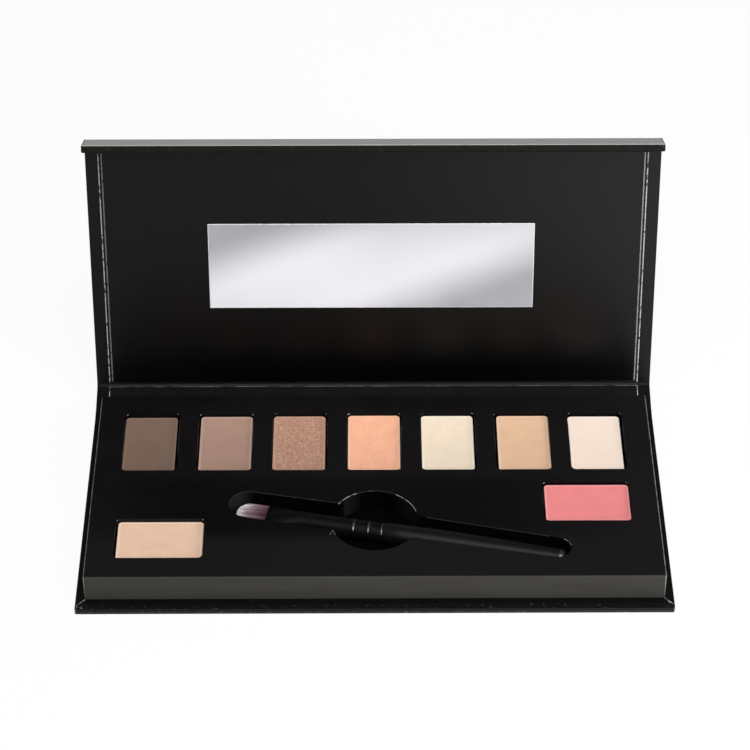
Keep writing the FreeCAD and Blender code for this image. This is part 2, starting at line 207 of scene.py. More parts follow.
def grain(tree, shader, size, height):
    """Fine relief of the given grain size and height in millimetres."""
    relief = add(tree, "Bump", {"Height": cloud(tree, size), "Distance": height * MM})
    tree.links.new(relief, shader.inputs["Normal"])


def tell(title, *made):
    """Print the names of the materials that were made."""
    print(title + ":", ", ".join(item.name for item in made))


print("plain materials in the frame:", len(bpy.data.materials))

# %% [markdown]
# ## Wrapping paper
#
# The boards are wrapped in black paper. Outside it is varnished, inside it is matt. It is not a
# perfect black: the fibre shows as faint cloudiness and dust sits on it. Where paper is folded or
# cut, its pale core shows in a broken line, so those narrow faces have materials of their own. The
# fibre is finer than a pixel, so its relief is drawn at 0.35 mm, which is as coarse as it needs to
# be to show.

# %% Paper
FIBRE, FIBRE_RISE = 0.35, 0.012  # sizes in millimetres
DUST_SPOT = 0.16
PATCH = 6.0
DUST_GREY, CORE_GREY = "#b9b5b0", "#8f8c88"


def paper(
    name,
    colour,
    roughness,
    specular,
    dust=0.3,
    apart=3.0,
    worn=0.0,
    core=CORE_GREY,
    rise=FIBRE_RISE,
    **values,
):
    """Black paper; worn is about the share of it that has rubbed through to its pale core."""
    made, tree, shader = start_material(name, roughness, Specular_IOR_Level=specular, **values)
    base = layer(tree, linear(colour), linear(colour, 1.35), (cloud(tree, PATCH), 0.3, 0.7))
    dusty = [(spots(tree, apart), DUST_SPOT / apart, 0.0), (cloud(tree, 7.0), 0.45, 0.65)]
    base = layer(tree, base, DUST_GREY, *dusty, (dust, 0, 1))
    if worn:
        broken = (cloud(tree, 1.2, detail=4.0), 0.75 - worn * 0.5, 0.85 - worn * 0.5)
        base = layer(tree, base, core, broken)
    tree.links.new(base, shader.inputs["Base Color"])
    uneven = {0: cloud(tree, PATCH), 1: 0.2, 2: 0.8, 3: roughness * 0.96, 4: roughness * 1.06}
    tree.links.new(add(tree, "MapRange", uneven), shader.inputs["Roughness"])
    grain(tree, shader, FIBRE, rise)
    return made


print("paper with fibre of", FIBRE, "mm and dust of", DUST_SPOT, "mm")

# %% [markdown]
# Each paper below is the same black stock with another history. Varnish gives the outside a clear
# sharp reflection. The lid's card is calendered, so it mirrors the room softly. Matt papers scatter
# the light and stay black.

# %% Papers of the case
# Varnish over black: a clear, fairly sharp reflection on the outside of the case.
varnished = paper(
    "Black varnished paper", "#0c0b0b", 0.4, 0.4, dust=0.15, Coat_Weight=0.46, Coat_Roughness=0.1
)
# Uncoated paper: it scatters the light, stays black and shows its dust.
matt_paper = paper("Black matt paper", "#080707", 0.55, 0.13, dust=0.6, apart=2.0)
# The same paper turned in by hand: dusty, and scuffed to a dark grey in places.
turned_in = paper(
    "Turned-in paper", "#0c0b0b", 0.55, 0.13, dust=1.0, apart=1.2, worn=0.25, core="#403e3b"
)
# Card pressed smooth between rollers: a soft, wide sheen over a deep black.
panel_card = paper(
    "Satin black card", "#020202", 0.33, 0.1, dust=0.1, rise=0.005, Coat_Roughness=0.33
)
# Thin lining paper: a low, even sheen.
liner_paper = paper("Black lining paper", "#0d0b0c", 0.5, 0.18, dust=0.2)
# Rough black card deep in the tray, darkened further as painted shade: almost no sheen, so the slot
# reads as a dark hole.
floor_card_in_shade = paper("Black tray floor card in painted shade", "#030202", 0.6, 0.05, dust=0.1)
tell("papers", varnished, matt_paper, turned_in, panel_card, liner_paper, floor_card_in_shade)

# %% [markdown]
# The satin of the card is a thin press varnish, rolled on as a second coat. It thins out low down
# in the middle, in the corner by the spine, and there the bare card mirrors less of the tray.

# %% Varnish of the card
SATIN = 0.55
BARE_BELOW, FULL_ABOVE = 8 * MM, 32 * MM
BARE_WITHIN, FULL_BEYOND = 50 * MM, 88 * MM
tree = panel_card.node_tree
x, _, z = positions(tree)
side = add(tree, "Math", {0: x}, operation="ABSOLUTE")
low = add(tree, "MapRange", {0: z, 1: FULL_ABOVE, 2: BARE_BELOW})
middle = add(tree, "MapRange", {0: side, 1: FULL_BEYOND, 2: BARE_WITHIN})
bare = add(tree, "Math", {0: low, 1: middle}, operation="MULTIPLY")
varnish = add(tree, "MapRange", {0: bare, 3: SATIN, 4: 0.0})
tree.links.new(varnish, tree.nodes["Principled BSDF"].inputs["Coat Weight"])
print("varnished", panel_card.name)

# %% [markdown]
# The black of this paper lies on its surface, so a grey core comes through wherever it is folded,
# rubbed or cut. Each kind of edge has a material of its own, because a fold that is only touched
# wears less than one that is rubbed every day, and a cut shows the core almost everywhere.

# %% Folded and cut edges
# A fold that is hardly touched: black, with a hint of grey fibre.
edge_paper = paper("Folded paper edge", "#0e0d0c", 0.6, 0.12, worn=0.25, core="#2a2826")
# The edge that slides on tables: dark grey and mottled.
base_edge = paper("Rubbed edge of the base", "#23221f", 0.6, 0.2, worn=0.35, core="#45433e")
# A fold rubbed through to its pale grey core, which also stands in as a painted highlight; its
# top round is paler still, a painted highlight where the light falls straight on it.
worn_fold_and_highlight = paper("Rubbed fold of the flap with painted highlight", "#a09d97", 0.6, 0.2, worn=0.6, core="#aaa7a1")
fold_top_highlight = paper("Painted highlight on the rubbed top of the flap's fold", "#a3a09a", 0.6, 0.2, worn=0.5, core="#aeaba5")
# A clean punched edge: a thin dark grey line.
cut_paper = paper("Cut edge of the tray paper", "#2e2c2b", 0.6, 0.1, worn=0.3, core="#5e5b58")
# Card cut with a guillotine: a grey, slightly rough face.
card_edge = paper("Cut card edge", "#2a2826", 0.7, 0.2, worn=0.85, core="#8a8783")
# Paper trimmed by hand: pale, broken and ragged.
raw_edge = paper("Cut edge of the lining paper", "#2c2a28", 0.7, 0.3, worn=0.75, core="#a9a6a2")
tell("edges", edge_paper, base_edge, worn_fold_and_highlight, fold_top_highlight, cut_paper, card_edge, raw_edge)

# %% [markdown]
# The base's front edge rubs on tables only low down. Its upper part is still black, so one more
# layer covers the grey there.

# %% Unrubbed top of the base's front
RUBBED_BELOW, BLACK_ABOVE = 1.2 * MM, 1.35 * MM
tree = base_edge.node_tree
colour = tree.nodes["Principled BSDF"].inputs["Base Color"]
height = positions(tree)[2]
unrubbed = (height, RUBBED_BELOW, BLACK_ABOVE)
black_top = layer(tree, colour.links[0].from_socket, "#0c0b0b", unrubbed)
tree.links.new(black_top, colour)
print("blackened the top of", base_edge.name)

# %% [markdown]
# ## The tray's paper and board
#
# One sheet of paper is folded over the tray like a box lid and then punched through for the pans,
# the brush and the finger recess. The long front face is painted greyer than the deck, as painted
# light from the front, and the deck has painted shade round the brush and painted light to the
# right and towards the front. The folds at the two ends have rubbed pale. All of this is placed
# with the object's own coordinates: x is large at the ends, y is lowest at the front and z is
# highest on the deck. The tray keeps its engineering shape, so position is the simplest way to tell
# its folds apart. The board under the paper only shows as the walls of the cuts.

# %% Tray paper
TRAY_DUST_APART = 5.0


def tray_paper_with_painted_light():
    """Tray paper with painted light on deck and front, and rubbed folds at ends and front corners.
    """
    made, tree, shader = start_material("Black tray paper with painted light", 0.5, Specular_IOR_Level=0.07)
    x, y, z = positions(tree)
    side = add(tree, "Math", {0: x}, operation="ABSOLUTE")
    # The deck: painted shade round the brush, and painted light to the right and towards the front.
    base = layer(tree, linear("#0b090a"), "#100e0f", (cloud(tree, 8.0), 0.3, 0.7))
    base = layer(tree, base, "#050505", (y, 7 * MM, 2 * MM), (side, 85 * MM, 60 * MM))
    base = layer(tree, base, "#151314", (x, 30 * MM, 85 * MM))
    base = layer(tree, base, "#151314", (y, -20 * MM, -26 * MM))
    dust = (spots(tree, TRAY_DUST_APART), DUST_SPOT / TRAY_DUST_APART, 0.0)
    base = layer(tree, base, "#a9a5a0", dust, (cloud(tree, 9.0), 0.5, 0.8), (0.25, 0, 1))
    # The front face, past the deck's front fold: painted a lighter grey, as painted light from the
    # front.
    front = layer(tree, linear("#373633"), "#3d3c39", (cloud(tree, 3.0, (0.1, 1, 1)), 0.2, 0.8))
    base = layer(tree, base, front, (y, -41.3 * MM, -41.5 * MM))
    # Rubbed folds: along both ends of the deck, and up both front corners.
    end_fold = [(side, 91.75 * MM, 91.82 * MM), (z, 11.2 * MM, 11.3 * MM)]
    base = layer(tree, base, "#7d7b77", *end_fold, (cloud(tree, 4.0, detail=4.0), 0.2, 0.7))
    corner = [(side, 91.7 * MM, 91.85 * MM), (y, -41.1 * MM, -41.3 * MM)]
    base = layer(tree, base, CORE_GREY, *corner, (z, 0.2 * MM, 11.0 * MM))
    tree.links.new(base, shader.inputs["Base Color"])
    grain(tree, shader, FIBRE, FIBRE_RISE)
    return made


# Thin uncoated paper: the deck hardly mirrors, so its folds and its front, painted greyer as
# lit from the front, draw its outline.
deck_paper_with_painted_light = tray_paper_with_painted_light()
tell("tray", deck_paper_with_painted_light)

# %% Tray board
BOARD_FIBRE = 0.6


def cut_board_with_painted_light():
    """Black board of the tray's layers, with painted light on the wells' back walls and where the
    cuts for the brush and fingers end.
    """
    made, tree, shader = start_material("Black tray board with painted light", 0.6, Specular_IOR_Level=0.04)
    x, y, _ = positions(tree)
    fibres = cloud(tree, BOARD_FIBRE, (1, 1, 0.3), 4.0)
    base = layer(tree, linear("#020202"), "#040303", (fibres, 0.3, 0.7))
    # Back walls of the wells, just behind the row of pans: painted light, as they face the front.
    row_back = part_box("eyeshadow_1_pan")[1].y
    base = layer(tree, base, "#0f0d0e", (y, row_back + 0.3 * MM, row_back + 0.4 * MM))
    # Painted light on walls that catch the light: the slot's left end and both sides of the finger
    # recess.
    below_wells = (y, 6 * MM, 3 * MM)
    slot_end = [(x, -39 * MM, -44 * MM)]
    recess_left = [(x, -4 * MM, -9 * MM), (x, -10.3 * MM, -9.6 * MM)]
    recess_right = [(x, 6 * MM, 12 * MM), (x, 14.5 * MM, 13.2 * MM)]
    for wall, share in ((slot_end, 0.9), (recess_left, 0.5), (recess_right, 0.6)):
        base = layer(tree, base, "#232121", *wall, below_wells, (share, 0, 1))
    tree.links.new(base, shader.inputs["Base Color"])
    grain(tree, shader, BOARD_FIBRE, 0.02)
    return made


# Board dyed black through and through: rough cut walls that swallow the light, with painted light
# on some of them.
core_board_with_painted_light = cut_board_with_painted_light()
tell("tray", core_board_with_painted_light)

# %% [markdown]
# ## Boards, tin, magnets and tape
#
# These pieces are mostly hidden, but a learner who takes the palette apart would see them, so each
# gets the look of its real material: grey recycled board with fibres in it, tin plate with the fine
# lines of rolling, dull magnet bars and yellowish double-sided tape.

# %% Hidden materials
def plain(name, dark, light, roughness, size, stretch=(1, 1, 1), height=0.01, **values):
    """A material between two colours, mottled at the size given in millimetres."""
    made, tree, shader = start_material(name, roughness, **values)
    base = layer(tree, linear(dark), light, (cloud(tree, size, stretch, 4.0), 0.35, 0.65))
    tree.links.new(base, shader.inputs["Base Color"])
    grain(tree, shader, size, height)
    return made


# Pulped old paper: a dull, speckled grey with long fibres.
greyboard = plain("Grey recycled board", "#6f6a62", "#8d877d", 0.9, 0.8, (0.3, 1, 1))
# Rolled and tinned steel: a soft metal shine, drawn out along the rolling lines.
tin_plate = plain("Tin plate", "#8d8b88", "#b4b2ae", 0.32, 0.5, (0.05, 1, 1), 0.003, Metallic=1.0)
# Iron powder bound in rubber: a dull charcoal.
magnet_bar = plain("Rubber magnet bar", "#2a2827", "#3a3735", 0.6, 0.6)
# Glue on thin film: yellowish, with a waxy gloss.
tape_film = plain("Double-sided tape", "#b9ad8f", "#cfc5ab", 0.5, 1.5)
tell("hidden", greyboard, tin_plate, magnet_bar, tape_film)

# %% [markdown]
# ## Pressed powders
#
# A powder is pressed into its pan under a cloth, so its face is very slightly grainy and its edge
# is a touch paler where it crumbles over the pan's rim. A matt powder is only chalky. A satin one
# has a soft sheen from fine mica, and a glitter one has larger flakes, each tilted its own way. The
# flakes are cells of a cell pattern: each cell gets its own brightness, a painted glint on the
# bright cells and painted shade on the dark ones. Real flakes are finer than a pixel, so the cells
# are 0.27 mm, as coarse as they need to be to show. Each powder of the row is painted a little
# lighter at the back and darker at the front, as painted light.

# %% Powder
FLAKE_CELL, POWDER_GRAIN = 0.27, 0.22
ROW_FRONT, ROW_BACK = 9.5 * MM, 36.5 * MM


def powder(name, colour, pale, flake=0.0, glint="#fff1e2", sheen=0.0, cloudy=0.06, lit_fade=0.2):
    """Pressed powder; flake sets how much of it glitters, pale is the crumbled edge."""
    specular = 0.25 + 0.25 * sheen
    made, tree, shader = start_material(name, 0.75 - 0.3 * sheen, Specular_IOR_Level=specular)
    place = add(tree, "TexCoord", output="Object")
    away = add(tree, "SeparateXYZ", {0: place}, "Y")
    # Painted light: lighter towards the back of the row and darker to the front.
    near, far = linear(colour, 1 - lit_fade / 2), linear(colour, 1 + lit_fade / 2)
    base = layer(tree, near, far, (away, ROW_FRONT, ROW_BACK))
    thin = (cloudy * 4, 0, 1)
    base = layer(tree, base, linear(colour, 0.75), (cloud(tree, 5.0), 0.65, 0.35), thin)
    if flake:
        # Glitter: bright cells are painted glints and dark cells are painted shade.
        cells = {"Vector": place, "Scale": 1 / (FLAKE_CELL * MM)}
        bright = add(tree, "SeparateColor", {0: add(tree, "TexVoronoi", cells, "Color")})
        base = layer(tree, base, linear(colour, 0.6), (bright, 0.45, 0.0), (flake / 2, 0, 1))
        base = layer(tree, base, glint, (bright, 0.55, 1.0), (flake, 0, 1))
    rim = add(tree, "Attribute", None, "Fac", attribute_name="rim")
    base = layer(tree, base, pale, (rim, 0, 1), (cloud(tree, 0.5), 0.25, 0.6))
    tree.links.new(base, shader.inputs["Base Color"])
    grain(tree, shader, POWDER_GRAIN, 0.02)
    return made


print("powder with flakes of", FLAKE_CELL, "mm and grain of", POWDER_GRAIN, "mm")

# %% The nine shades
POWDERS = {
    # Matt: chalky, with no shine at all.
    "eyeshadow_1": powder("Matt brown powder", "#786254", "#8a7364"),
    "eyeshadow_2": powder("Matt taupe powder", "#a88778", "#c2a293"),
    # Glitter and shimmer: single flakes sparkle as painted glints, fewer and softer in the pale
    # shades.
    "eyeshadow_3": powder("Bronze glitter powder", "#a87d68", "#c79c86", 0.55, "#f2c8ac", 0.6),
    "eyeshadow_4": powder("Peach shimmer powder", "#f4b18e", "#fbc8ab", 0.25, "#ffe6d6", 0.5),
    "eyeshadow_5": powder("Champagne shimmer powder", "#efdbc2", "#fbf0e0", 0.22, "#fffaf0", 0.5),
    # Satin: an even face with a faint silky sheen.
    "eyeshadow_6": powder(
        "Tan satin powder", "#deb695", "#efcdb0", 0.08, "#fbe6d2", 0.2, lit_fade=0.14
    ),
    "eyeshadow_7": powder(
        "Ivory satin powder", "#f0dccc", "#f8ebe0", 0.06, "#fffaf4", 0.2, cloudy=0.03, lit_fade=0.05
    ),
    "blush": powder("Rose blush powder", "#e38283", "#f0a0a0", 0.06, "#ffd2d0", 0.2, lit_fade=0),
    "concealer": powder("Beige face powder", "#e3bea5", "#f2d6c2", 0.06, "#fff0e2", 0.2, lit_fade=0),
}
tell("powders", *POWDERS.values())

# %% [markdown]
# ## Mirror, brush and bristle materials
#
# The mirror in the lid is thin silvered plastic. In the picture it carries a soft bright band from
# corner to corner. Polished metal would only mirror the dim room, so the band is a painted
# reflection, laid on as colour that runs with the mirror's own flat coordinates, and the mirror's
# rim is a painted highlight. The brush has a satin lacquered handle, a black coated ferrule whose
# crimps have rubbed to bare metal only on the side where the highlight falls, partly a painted
# highlight, and soft bristles that turn from wine red at the root to a pale grey at the tip.

# %% Mirror
BAND_SLANT, BAND_SHIFT = -1.44, 0.17
BAND_HALF, BAND_FADE = 0.27, 0.95


def mirror_material():
    """Silvered plastic with a painted reflection: a bright slanting band, darker towards the top.
    """
    made, tree, shader = start_material("Mirror plastic with painted reflection", 0.12, Specular_IOR_Level=0.3)
    flat = add(tree, "UVMap", uv_map="flat")
    across, up = [add(tree, "SeparateXYZ", {0: flat}, axis) for axis in "XY"]
    away = add(tree, "Math", {0: across, 1: BAND_SLANT, 2: up}, operation="MULTIPLY_ADD")
    away = add(tree, "Math", {0: away, 1: BAND_SHIFT}, operation="ADD")
    away = add(tree, "Math", {0: away}, operation="ABSOLUTE")
    reach = {0: away, 1: BAND_HALF, 2: BAND_FADE}
    beside_band = add(tree, "MapRange", reach, interpolation_type="SMOOTHSTEP")
    base = layer(tree, linear("#ebecf1"), "#a1a2a7", (beside_band, 0, 1))
    base = layer(tree, base, "#000000", (up, 0, 1), (across, -0.06, 0.55), (0.42, 0, 1))
    tree.links.new(base, shader.inputs["Base Color"])
    smear = {0: cloud(tree, 18.0), 1: 0.35, 2: 0.65, 3: 0.1, 4: 0.16}
    tree.links.new(add(tree, "MapRange", smear), shader.inputs["Roughness"])
    return made


# Silver behind clear plastic: smooth, with faint smears, and a painted reflection as its bright
# band.
mirror_with_painted_reflection = mirror_material()
# The cut and polished rim of the plate: a thin bright outline, a painted highlight.
mirror_edge_highlight = plain("Cut mirror edge with painted highlight", "#c9cbd0", "#f2f3f6", 0.2, 1.0)
tell("mirror", mirror_with_painted_reflection, mirror_edge_highlight)

# %% Brush
def bristle_material():
    """Soft hair, wine red at the root and pale at the tip, in streaks."""
    made, tree, shader = start_material("Dyed soft bristle", 0.6, Specular_IOR_Level=0.3)
    along = add(tree, "Attribute", None, "Fac", attribute_name="along")
    streak = add(tree, "Attribute", None, "Fac", attribute_name="strand")
    turn = add(tree, "Math", {0: streak, 1: 0.55, 2: along}, operation="MULTIPLY_ADD")
    base = layer(tree, linear("#45252a"), "#8b747c", (turn, 0.4, 0.9))
    base = layer(tree, base, "#e9e4e5", (turn, 0.8, 1.3))
    tree.links.new(base, shader.inputs["Base Color"])
    grain(tree, shader, 0.2, 0.01)
    return made


# Dyed hair: single strands show, dark where they leave the ferrule and frosty at the tip.
bristle_hair = bristle_material()
# Lacquer on turned wood: black, with one long soft highlight.
lacquer = plain(
    "Satin black lacquer", "#080708", "#0b0a0b", 0.42, 3.0, height=0.004, Specular_IOR_Level=0.17
)
# The buffed end of the handle: a small, sharper glint.
polished = plain(
    "Polished handle end", "#0c0b0c", "#121112", 0.3, 1.0, height=0.002, Specular_IOR_Level=0.8
)
# Black coating on a metal tube: nearly no shine, so that the crimps stand out.
black_metal = plain(
    "Black coated ferrule", "#060506", "#0a090a", 0.48, 1.0, height=0.003, Specular_IOR_Level=0.08
)
# Coating rubbed off the crimps: short dashes of bare metal, laid only where the highlight falls,
# so partly a painted highlight.
crimp_highlight = plain("Rubbed metal crimp with painted highlight", "#4c4a49", "#6a6866", 0.38, 0.6, Metallic=1.0)
tell("brush", bristle_hair, lacquer, polished, black_metal, crimp_highlight)

# %% [markdown]
# ## Wrapped boards
#
# A wrapped board is a plain slab with edges softened by the paper that goes round them. The slab is
# drawn flat in its own frame and folded into place by its matrix. Ends that run into a crease stay
# square, so that the paper seems to go on. The outside is varnished, the inside is matt, and the
# narrow faces that the bevel makes are where paper wears first. A thin sheet could be folded round
# each board instead, but only its outside is ever seen, so a slab with a bevel is enough.

# %% Slabs and soft edges
SOFT_STEPS = 3


def slab(bm, body, x, y0, y1, z0, z1, middle=0.0):
    """Add a plain slab in a board's frame; x is half its width."""
    size = Matrix.Diagonal((2 * x, y1 - y0, z1 - z0, 1))
    centre = Matrix.Translation((middle, (y0 + y1) / 2, (z0 + z1) / 2))
    bmesh.ops.create_cube(bm, size=1, matrix=board_frame(body) @ centre @ size)


def soften(bm, edges, width, segments=SOFT_STEPS):
    """Round the edges given, by a width in millimetres, and return the new faces."""
    return bmesh.ops.bevel(
        bm,
        geom=edges,
        offset=width * MM,
        segments=segments,
        profile=0.5,
        affect="EDGES",
        material=-1,
    )["faces"]


print("a soft edge has", SOFT_STEPS, "steps")

# %% Finishes of a wrap
FRONT_CORNER_X, FRONT_CORNER_Y = 93.8, -45.5
WRAP_FINISH = [
    varnished,
    matt_paper,
    edge_paper,
    raw_edge,
    worn_fold_and_highlight,
    fold_top_highlight,
    base_edge,
    panel_card,
]


def wrap_finish(body, facing, middle, is_rounded):
    """Which of the wrap's finishes a face has, from where it faces and lies on its board."""
    at_corner = middle.y < FRONT_CORNER_Y and abs(middle.x) > FRONT_CORNER_X
    if is_rounded and body == "base" and at_corner:
        return raw_edge
    # The flap's rounded free edge: a pale worn fold that is also a painted highlight, palest on its
    # top round.
    if is_rounded and body == "flap" and facing.z < -0.5 and facing.y > 0.1:
        return fold_top_highlight if facing.z < -0.85 else worn_fold_and_highlight
    if body == "base" and facing.y < -0.5:
        return base_edge
    if is_rounded or abs(facing.y) > 0.9:
        return edge_paper
    if facing.z > 0.9:
        return panel_card if body == "lid" else matt_paper
    return varnished


print("finishes of a wrap:", len(WRAP_FINISH))

# %% Wrapped boards
CASE_X = 94.99
EDGE_ROUND = {"base": 0.35, "spine": 0.35, "lid": 0.35, "flap": 0.47}
# The ends that run on into a crease.
CREASED = {
    "base": REACH["base"][1:],
    "spine": REACH["spine"],
    "lid": REACH["lid"],
    "flap": REACH["flap"][:1],
}
WRAP_SHARP = 12  # each step of the bevel stays crisp, so that the broad faces are lit as flat
for body in BENDS:
    bm = bmesh.new()
    slab(bm, body, CASE_X, *REACH[body], OUTER_Z, INNER_Z[body])
    flat = board_frame(body).inverted()
    free = []
    for edge in bm.edges:
        ends = [(flat @ vert.co).y for vert in edge.verts]
        if not any(max(abs(y - end) for y in ends) < 0.01 for end in CREASED[body]):
            free.append(edge)
    rounded = set(soften(bm, free, EDGE_ROUND[body]))
    bm.normal_update()
    for face in bm.faces:
        facing = (flat.to_3x3() @ face.normal).normalized()
        finish = wrap_finish(body, facing, flat @ face.calc_center_median(), face in rounded)
        face.material_index = WRAP_FINISH.index(finish)
    replaced = [body + "_cover"]
    make_piece(body + "_wrap", bm, WRAP_FINISH, body, replaced, WRAP_SHARP)

# %% [markdown]
# ## The base's turned-in front edge
#
# Round the tray a narrow margin of the base is left, and there the wrapping paper is turned in over
# the board. At each front corner the long strip is cut at 45 degrees and laid on the short one, as
# a bookbinder does, which leaves a fine slanting line where the cut shows the paper's core. The
# strip is one flat outline, extruded by the paper's thickness, with its cut ends drawn in a little
# so that they become slopes. A cut along it parts a darker inner band, next to the tray, from a
# lighter and dustier outer one. A pattern could draw that line too, but a real step catches the
# light from every side.

# %% Turned-in paper
TURN_IN, CUT_SLOPE = 0.1, 0.25  # thickness of the paper, and how far its cut ends are drawn in
STRIP_FRONT, STRIP_SPLIT = -45.0, -44.2
OUTLINE = (
    (-94.6, -46.1),
    (94.6, -46.1),
    (94.6, -44.4),
    (92.1, -41.7),
    (-92.1, -41.7),
    (-94.6, -44.4),
)
bm = bmesh.new()
strip = bm.faces.new([bm.verts.new((x, y, INNER_Z["base"])) for x, y in OUTLINE])
raised = bmesh.ops.extrude_face_region(bm, geom=[strip])["geom"]
for vert in raised:
    if isinstance(vert, bmesh.types.BMVert):
        vert.co.z += TURN_IN
        if vert.co.y > STRIP_FRONT:
            vert.co += Vector((-math.copysign(CUT_SLOPE, vert.co.x), -CUT_SLOPE, 0))
cut = {"plane_co": (0, STRIP_SPLIT, 0), "plane_no": (0, 1, 0)}
bmesh.ops.bisect_plane(bm, geom=bm.verts[:] + bm.edges[:] + bm.faces[:], **cut)
bm.normal_update()
for face in bm.faces:
    if abs(face.normal.x) > 0.1 and abs(face.normal.y) > 0.1:
        face.material_index = 2
    elif face.calc_center_median().y < STRIP_SPLIT:
        face.material_index = 1
bmesh.ops.transform(bm, matrix=board_frame("base"), verts=bm.verts[:])
make_piece("base_turn_in", bm, [matt_paper, turned_in, raw_edge], "base")

# %% [markdown]
# ## Paper creases
#
# Between two boards there is only paper: the wrap, which is turned in at both ends, and a lining
# inside, with a gutter of 3 mm that lets the case fold. They bend as arcs round one centre. Each
# starts as a narrow grid that stands at the end of the first board, and is spun round that centre
# until it meets the second board. Then it gets a little waviness. A slice of a cylinder would do
# as well, but a spin begins and ends exactly on the two boards. A lining cracks where its bend
# starts, so a mark called bend is kept on the points: it runs from 0 at the first board to 1 at the
# second.

# %% Cracked lining
def cracked_lining():
    """Lining paper with a pale crack along the start of the bend."""
    made, tree, shader = start_material("Cracked lining paper", 0.55, Specular_IOR_Level=0.2)
    bend = add(tree, "Attribute", None, "Fac", attribute_name="bend")
    broken = (cloud(tree, 2.0, (0.4, 1, 1), 5.0), 0.35, 0.7)
    base = layer(tree, linear("#080707"), "#7d7a76", (bend, 0.16, 0.08), broken)
    tree.links.new(base, shader.inputs["Base Color"])
    grain(tree, shader, FIBRE, FIBRE_RISE)
    return made


# Paper bent too often: matt black, with one broken pale line beside the board.
crack_paper = cracked_lining()
tell("crease", crack_paper)

# %% Bent paper
CREASE_COLUMNS, CREASE_STEPS = 96, 10


def bent_paper(bm, centre, fold, inner, outer, half):
    """Spin an upright strip that reaches between two radii, and return the faces it makes."""
    before = set(bm.faces)
    stand = Matrix.Translation((0, centre.y, centre.z - (inner + outer) / 2))
    stand = stand @ Matrix.Rotation(math.pi / 2, 4, "X")
    stand = stand @ Matrix.Diagonal((half, (outer - inner) / 2, 1, 1))
    count = {"x_segments": CREASE_COLUMNS, "y_segments": 1}
    start = bmesh.ops.create_grid(bm, size=1.0, matrix=stand, **count)
    strip = [face for face in bm.faces if face not in before]
    sides = dict.fromkeys(edge for face in strip for edge in face.edges)
    around = start["verts"] + list(sides) + strip
    bmesh.ops.spin(bm, geom=around, cent=centre, axis=(1, 0, 0), angle=fold, steps=CREASE_STEPS)
    return set(bm.faces) - before


print("a crease has", CREASE_COLUMNS, "columns and", CREASE_STEPS, "steps")

# %% Creases
GUTTER = 1.5  # half of the bare paper between two boards
LINER_X = 90.8
RIPPLE, RIPPLE_PACE = 0.05, 0.9
CREASE_FINISH = [matt_paper, crack_paper, varnished]


def crease(name, first, second):
    """Wrap and lining bent round the gutter between two boards."""
    fold = math.radians(BENDS[second][2] - BENDS[first][2])
    start_y = REACH[first][1]
    middle_r = GUTTER / math.tan(fold / 2)
    centre = Vector((0, start_y, middle_r))
    bm = bmesh.new()
    mark = bm.verts.layers.float.new("bend")
    # Each paper's two radii, its half width, and its finish inside and outside.
    wrap = (middle_r - 1.0, middle_r + 0.99, CASE_X - 0.02, matt_paper, varnished)
    lining = (middle_r - 1.2, middle_r - 0.98, LINER_X, crack_paper, crack_paper)
    for inner, outer, half, inside, outside in (wrap, lining):
        for face in bent_paper(bm, centre, fold, inner, outer, half):
            arm = face.calc_center_median() - centre
            finish = outside if math.hypot(arm.y, arm.z) > outer - 0.1 else inside
            face.material_index = CREASE_FINISH.index(finish)
    for vert in bm.verts:
        arm = vert.co - centre
        turn = math.atan2(arm.y, -arm.z)
        vert[mark] = turn / fold
        wave = 0.5 + 0.5 * math.sin(vert.co.x * RIPPLE_PACE + 2 * turn)
        inward = RIPPLE * wave * math.sin(math.pi * turn / fold)
        vert.co += Vector((0, -math.sin(turn), math.cos(turn))) * inward
    to_frame = board_frame(first)
    bmesh.ops.transform(bm, matrix=to_frame, verts=bm.verts[:])
    replaced = [name + "_paper"]
    piece = make_piece(name, bm, CREASE_FINISH, None, replaced, 60)
    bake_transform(piece)


crease("rear_crease", "base", "spine")
crease("lid_crease", "spine", "lid")
crease("flap_crease", "lid", "flap")

# %% [markdown]
# ## Lining papers
#
# The inside of the spine, the lid and the flap is lined with black paper that stops short of the
# edges. Its ends are cut, and the cut shows the paper's core as a ragged pale line. The slab's
# upper corners are drawn in a little, so that the cut is a slope the camera can see.

# %% Linings
LINING, LINING_SLOPE, FLAP_MARGIN = 0.2, 0.35, 0.35
for body in ("spine", "lid", "flap"):
    y0, y1 = REACH[body]
    if body == "flap":
        y0, y1 = y0 + FLAP_MARGIN, y1 - FLAP_MARGIN
    bm = bmesh.new()
    slab(bm, body, LINER_X, y0, y1, INNER_Z[body], INNER_Z[body] + LINING)
    flat = board_frame(body).inverted()
    for vert in bm.verts:
        if (flat @ vert.co).z > INNER_Z[body] + LINING / 2:
            vert.co.x -= math.copysign(LINING_SLOPE * MM, vert.co.x)
    bm.normal_update()
    for face in bm.faces:
        if abs(face.normal.x) > 0.2:
            face.material_index = 1
    replaced = [body + "_liner"]
    make_piece(body + "_lining", bm, [liner_paper, raw_edge], body, replaced)

# %% [markdown]
# ## Lid panel and mirror
#
# A card panel with a window is glued into the lid, and the mirror sits in the window almost flush
# with the card. The panel is a slab with a hole: two rectangles are bridged, and the frame between
# them is thickened. A Boolean would cut the window too, but bridging leaves only clean four-sided
# faces. The panel's two ends are cut edges that show as pale lines. The mirror gets a narrow
# polished edge with a painted highlight, and flat coordinates for its painted reflection band.

